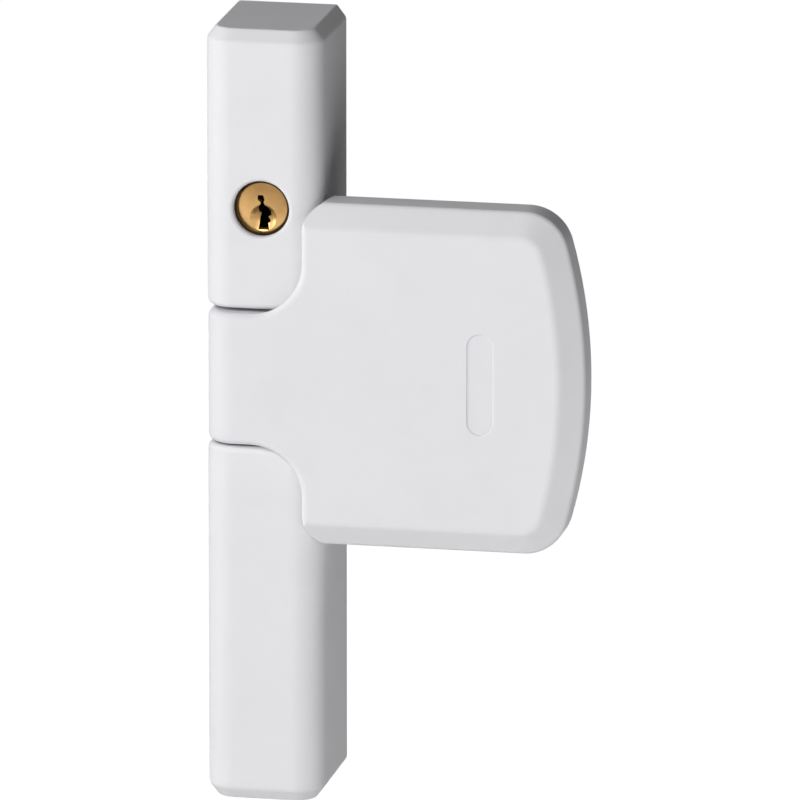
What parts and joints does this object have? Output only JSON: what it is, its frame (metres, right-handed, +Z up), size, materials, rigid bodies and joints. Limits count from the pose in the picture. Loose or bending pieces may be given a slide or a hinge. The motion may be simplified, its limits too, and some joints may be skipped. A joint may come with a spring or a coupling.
{
  "type": "window lock",
  "caption": "White swing-flap window lock: an upright bar with a brass key cylinder goes on the window frame, and a hinged flap swings over the sash and is held shut by a key-thrown bolt.",
  "frame": {"origin": "on the mounting face, in the middle of the bar", "axes": "+Z up the bar, +X towards the flap's free end, +Y out of the back into the window frame"},
  "size_m": [0.0901, 0.0334, 0.1846],
  "materials": {
    "white_cover": "satin white powder coat on die-cast zinc",
    "white_flap": "satin white powder coat on die-cast zinc",
    "zinc_plate": "zinc-plated pressed steel",
    "die_cast": "bare die-casting",
    "screw_steel": "zinc-plated",
    "black_steel": "black oxide",
    "ground_steel": "ground and hardened",
    "spring_steel": "drawn wire",
    "bearing_plastic": "self-lubricating acetal",
    "brass_body": "dark, unpolished",
    "brass_plug": "turned and lightly brushed",
    "brass_pins": "turned",
    "pad_rubber": "matt"
  },
  "bodies": {
    "bar": {"base_plate": "zinc_plate", "lock_case": "die_cast", "lower_hinge_block": "die_cast", "block_screws": "screw_steel", "hinge_pin": "ground_steel", "pin_set_screws": "black_steel", "upper_thrust_washer": "bearing_plastic", "lower_thrust_washer": "bearing_plastic", "upper_cover": "white_cover", "lower_cover": "white_cover", "cover_screws": "screw_steel", "cylinder_body": "brass_body", "driver_pins": "brass_pins", "pin_springs": "spring_steel", "chamber_cap": "brass_body", "cylinder_set_screw": "black_steel"},
    "flap": {"flap_body": "white_flap", "flap_back_plate": "zinc_plate", "back_plate_screws": "screw_steel", "upper_sash_pad": "pad_rubber", "lower_sash_pad": "pad_rubber", "upper_bush": "bearing_plastic", "lower_bush": "bearing_plastic"},
    "plug": {"plug": "brass_plug", "key_pins": "brass_pins", "plug_clip": "spring_steel", "cam": "ground_steel", "cam_screw": "screw_steel"},
    "bolt": {"locking_bolt": "ground_steel"}
  },
  "joints": [
    {"name": "flap_swing", "type": "hinge", "parent": "bar", "child": "flap", "pos_m": [-0.003, -0.02, 0.0095], "axis": [0, 0, -1], "range_deg": [0, 150]},
    {"name": "plug_turn", "type": "hinge", "parent": "bar", "child": "plug", "pos_m": [0, -0.0288, 0.05005], "axis": [0, 1, 0], "range_deg": [0, 90]},
    {"name": "bolt_slide", "type": "slide", "parent": "bar", "child": "bolt", "axis": [0, 0, -1], "range_m": [0, 0.00707]}
  ],
  "couplings": [
    {"joint": "plug_turn", "follows": "bolt_slide", "rad_per_m": 222.14}
  ]
}
